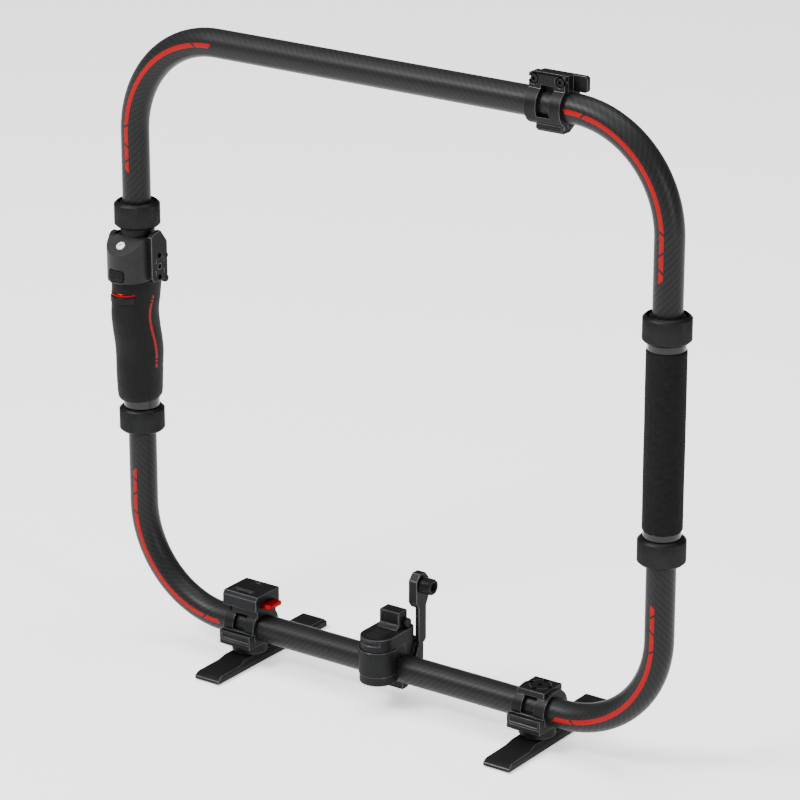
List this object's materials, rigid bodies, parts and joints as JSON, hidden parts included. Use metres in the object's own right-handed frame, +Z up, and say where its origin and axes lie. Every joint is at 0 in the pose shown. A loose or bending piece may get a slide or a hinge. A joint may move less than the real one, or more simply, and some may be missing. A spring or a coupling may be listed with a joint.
{
  "type": "camera ring grip",
  "caption": "Square carbon-tube ring grip for a camera gimbal, with upright grips, tube clamps, centre mount and swivel feet.",
  "frame": {"origin": "on the floor, under the middle of the footprint (ring centred in X, feet centred in Y)", "axes": "+Z up, +X to the right along the lower tube, -Y to the front of the ring"},
  "size_m": [0.582, 0.161, 0.5876],
  "materials": {
    "carbon": "clear-coated woven carbon",
    "core_metal": "black anodised",
    "knurled_metal": "black anodised, knurled",
    "foam": "matt closed-cell foam",
    "gloss_ring": "polished",
    "grip_rubber": "matt soft-touch",
    "head_shell": "fine moulded grain",
    "black_metal": "black anodised, bead blasted",
    "foot_black": "black anodised",
    "red_metal": "red anodised",
    "button_white": "smooth",
    "board": "solder mask",
    "cell": "shrink sleeve",
    "steel": "ground",
    "dark_steel": "black oxide"
  },
  "bodies": {
    "lower_frame": {"lower_tube": "carbon", "left_clamp_upper": "black_metal", "left_clamp_lower": "black_metal", "right_clamp_upper": "black_metal", "right_clamp_lower": "black_metal", "hole_plate": "black_metal", "lower_clamp_pins": "steel", "lower_clamp_bolts": "dark_steel", "qr_block": "black_metal", "qr_spring": "steel", "swivel_discs": "black_metal", "foot_screws": "dark_steel", "mount_cap": "black_metal", "mount_body": "black_metal", "mount_plate": "black_metal", "release_spring": "steel", "lock_block": "black_metal", "rear_bracket": "black_metal", "mount_screws": "dark_steel", "support_arm": "black_metal", "arm_screw": "dark_steel"},
    "upper_frame": {"upper_tube": "carbon", "top_clamp_front": "black_metal", "top_clamp_rear": "black_metal", "top_clamp_bolts": "dark_steel", "top_clamp_pin": "steel"},
    "control_grip": {"left_core": "core_metal", "left_collets": "core_metal", "grip_rubber": "grip_rubber", "grip_end_ring": "gloss_ring", "grip_neck": "core_metal", "head_housing": "head_shell", "side_plate": "black_metal", "circuit_board": "board", "battery_cell": "cell", "red_accent": "red_metal", "wheel_axle": "steel", "rocker_pin": "steel"},
    "handle_grip": {"right_core": "core_metal", "right_collets": "core_metal", "foam_grip": "foam", "right_end_rings": "gloss_ring"},
    "left_top_nut": {"left_top_collar": "knurled_metal"},
    "left_bottom_nut": {"left_bottom_collar": "knurled_metal"},
    "right_top_nut": {"right_top_collar": "knurled_metal"},
    "right_bottom_nut": {"right_bottom_collar": "knurled_metal"},
    "record_key": {"record_button": "button_white"},
    "rocker_key": {"zoom_rocker": "grip_rubber"},
    "trigger_key": {"front_trigger": "grip_rubber"},
    "wheel": {"side_wheel": "knurled_metal"},
    "red_lever": {"qr_lever": "red_metal"},
    "release_key": {"release_button": "black_metal"},
    "block_screw": {"block_knob": "knurled_metal"},
    "arm_thumbscrew": {"thumbscrew": "knurled_metal"},
    "left_stand": {"left_foot": "foot_black", "left_foot_pads": "grip_rubber"},
    "right_stand": {"right_foot": "foot_black", "right_foot_pads": "grip_rubber"}
  },
  "joints": [
    {"name": "upper_frame_lift", "type": "slide", "parent": "lower_frame", "child": "upper_frame", "axis": [0, 0, 1], "range_m": [0, 0.05]},
    {"name": "control_grip_turn", "type": "hinge", "parent": "lower_frame", "child": "control_grip", "pos_m": [-0.27075, -0.0175, 0.298], "axis": [0, 0, 1], "range_deg": [-180, 180]},
    {"name": "handle_grip_turn", "type": "hinge", "parent": "lower_frame", "child": "handle_grip", "pos_m": [0.27075, -0.0175, 0.298], "axis": [0, 0, 1], "range_deg": [-180, 180]},
    {"name": "left_top_nut_turn", "type": "hinge", "parent": "control_grip", "child": "left_top_nut", "pos_m": [-0.27075, -0.0175, 0.395], "axis": [0, 0, 1], "range_deg": [0, 360]},
    {"name": "left_bottom_nut_turn", "type": "hinge", "parent": "control_grip", "child": "left_bottom_nut", "pos_m": [-0.27075, -0.0175, 0.206], "axis": [0, 0, -1], "range_deg": [0, 360]},
    {"name": "right_top_nut_turn", "type": "hinge", "parent": "handle_grip", "child": "right_top_nut", "pos_m": [0.27075, -0.0175, 0.395], "axis": [0, 0, 1], "range_deg": [0, 360]},
    {"name": "right_bottom_nut_turn", "type": "hinge", "parent": "handle_grip", "child": "right_bottom_nut", "pos_m": [0.27075, -0.0175, 0.206], "axis": [0, 0, -1], "range_deg": [0, 360]},
    {"name": "record_press", "type": "slide", "parent": "control_grip", "child": "record_key", "axis": [0, 0.5878, -0.809], "range_m": [0, 0.0008], "stiffness_N_per_m": 500, "springref_m": -0.0004},
    {"name": "zoom_rock", "type": "hinge", "parent": "control_grip", "child": "rocker_key", "pos_m": [-0.27075, -0.0461, 0.3457], "axis": [1, 0, 0], "range_deg": [-4, 4], "stiffness_Nm_per_rad": 0.02},
    {"name": "trigger_press", "type": "slide", "parent": "control_grip", "child": "trigger_key", "axis": [0, 1, 0], "range_m": [0, 0.0015], "stiffness_N_per_m": 500, "springref_m": -0.0005},
    {"name": "wheel_turn", "type": "hinge", "parent": "control_grip", "child": "wheel", "pos_m": [-0.28795, -0.0275, 0.373], "axis": [1, 0, 0], "continuous": true},
    {"name": "red_lever_press", "type": "slide", "parent": "lower_frame", "child": "red_lever", "axis": [-1, 0, 0], "range_m": [0, 0.003], "stiffness_N_per_m": 600, "springref_m": -0.001},
    {"name": "release_press", "type": "slide", "parent": "lower_frame", "child": "release_key", "axis": [0, 1, 0], "range_m": [0, 0.002], "stiffness_N_per_m": 500, "springref_m": -0.001},
    {"name": "block_screw_turn", "type": "hinge", "parent": "lower_frame", "child": "block_screw", "pos_m": [0.0125, -0.0095, 0.0743], "axis": [1, 0, 0], "continuous": true},
    {"name": "thumbscrew_turn", "type": "hinge", "parent": "lower_frame", "child": "arm_thumbscrew", "pos_m": [0.025, 0.0045, 0.1064], "axis": [1, 0, 0], "continuous": true},
    {"name": "left_foot_swivel", "type": "hinge", "parent": "lower_frame", "child": "left_stand", "pos_m": [-0.1532, -0.0175, 0.005], "axis": [0, 0, 1], "range_deg": [-90, 90]},
    {"name": "right_foot_swivel", "type": "hinge", "parent": "lower_frame", "child": "right_stand", "pos_m": [0.1532, -0.0175, 0.005], "axis": [0, 0, 1], "range_deg": [-90, 90]}
  ]
}
